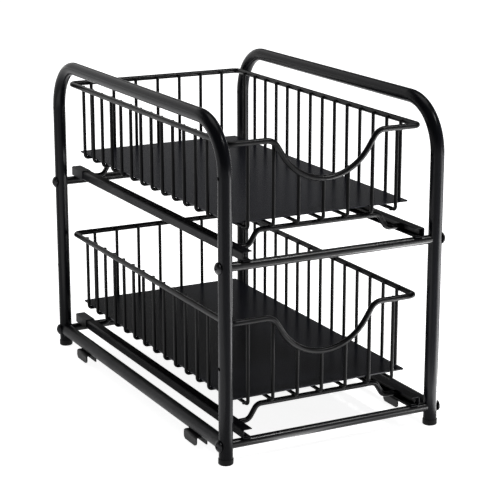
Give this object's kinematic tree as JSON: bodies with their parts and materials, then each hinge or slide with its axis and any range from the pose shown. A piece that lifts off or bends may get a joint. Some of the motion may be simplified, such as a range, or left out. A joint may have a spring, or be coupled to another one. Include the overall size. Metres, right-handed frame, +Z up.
{
  "type": "two-tier pull-out cabinet basket rack",
  "caption": "Steel tube stand with wire baskets on two levels, each on side slides so that it pulls out to the front, with a scooped front rim.",
  "frame": {"origin": "on the floor, at the middle of the rectangle of the four legs", "axes": "+X to the right seen from the front, +Y to the rear, +Z up; the baskets pull out towards -Y"},
  "size_m": [0.2114, 0.3564, 0.2805],
  "materials": {
    "frame_powder_coat": "satin black powder coat on bent steel tube",
    "rail_powder_coat": "satin black powder coat on the bottom rails",
    "clip_powder_coat": "satin black powder coat on bent sheet",
    "crossbar_powder_coat": "semi-gloss black powder coat on round bar",
    "screw_black_oxide": "black machine screw, slightly glossy",
    "foot_black_plastic": "moulded black polyethylene",
    "channel_black_coat": "black coat on rolled sheet channel",
    "stop_cap_grey_nylon": "moulded dark grey nylon",
    "guide_pad_nylon": "moulded black nylon",
    "rim_powder_coat": "satin black powder coat on thick wire",
    "wire_powder_coat": "satin black powder coat on thin wire",
    "support_powder_coat": "satin black powder coat on thick wire",
    "tray_coated_sheet": "satin black coat on flat sheet",
    "runner_black_zinc": "black zinc plated flat bar",
    "glide_nylon": "moulded black nylon"
  },
  "bodies": {
    "frame": {"left_side_frame": "frame_powder_coat", "right_side_frame": "frame_powder_coat", "left_bottom_rail": "rail_powder_coat", "right_bottom_rail": "rail_powder_coat", "left_front_clip": "clip_powder_coat", "left_rear_clip": "clip_powder_coat", "right_front_clip": "clip_powder_coat", "right_rear_clip": "clip_powder_coat", "lower_front_crossbar": "crossbar_powder_coat", "lower_rear_crossbar": "crossbar_powder_coat", "upper_front_crossbar": "crossbar_powder_coat", "upper_rear_crossbar": "crossbar_powder_coat", "crossbar_screws": "screw_black_oxide", "front_left_foot_cap": "foot_black_plastic", "front_right_foot_cap": "foot_black_plastic", "rear_left_foot_cap": "foot_black_plastic", "rear_right_foot_cap": "foot_black_plastic", "lower_right_channel": "channel_black_coat", "lower_left_channel": "channel_black_coat", "upper_right_channel": "channel_black_coat", "upper_left_channel": "channel_black_coat", "lower_right_stop_cap": "stop_cap_grey_nylon", "lower_left_stop_cap": "stop_cap_grey_nylon", "upper_right_stop_cap": "stop_cap_grey_nylon", "upper_left_stop_cap": "stop_cap_grey_nylon", "lower_right_guide_pads": "guide_pad_nylon", "lower_left_guide_pads": "guide_pad_nylon", "upper_right_guide_pads": "guide_pad_nylon", "upper_left_guide_pads": "guide_pad_nylon"},
    "lower_basket": {"lower_rim": "rim_powder_coat", "lower_long_wires": "wire_powder_coat", "lower_cross_wires": "wire_powder_coat", "lower_tray": "tray_coated_sheet", "lower_front_support": "support_powder_coat", "lower_rear_support": "support_powder_coat", "lower_right_runner": "runner_black_zinc", "lower_left_runner": "runner_black_zinc", "lower_right_glide": "glide_nylon", "lower_left_glide": "glide_nylon"},
    "upper_basket": {"upper_rim": "rim_powder_coat", "upper_long_wires": "wire_powder_coat", "upper_cross_wires": "wire_powder_coat", "upper_tray": "tray_coated_sheet", "upper_front_support": "support_powder_coat", "upper_rear_support": "support_powder_coat", "upper_right_runner": "runner_black_zinc", "upper_left_runner": "runner_black_zinc", "upper_right_glide": "glide_nylon", "upper_left_glide": "glide_nylon"}
  },
  "joints": [
    {"name": "lower_basket_slide", "type": "slide", "parent": "frame", "child": "lower_basket", "axis": [0, -1, 0], "range_m": [0, 0.24]},
    {"name": "upper_basket_slide", "type": "slide", "parent": "frame", "child": "upper_basket", "axis": [0, -1, 0], "range_m": [0, 0.24]}
  ]
}
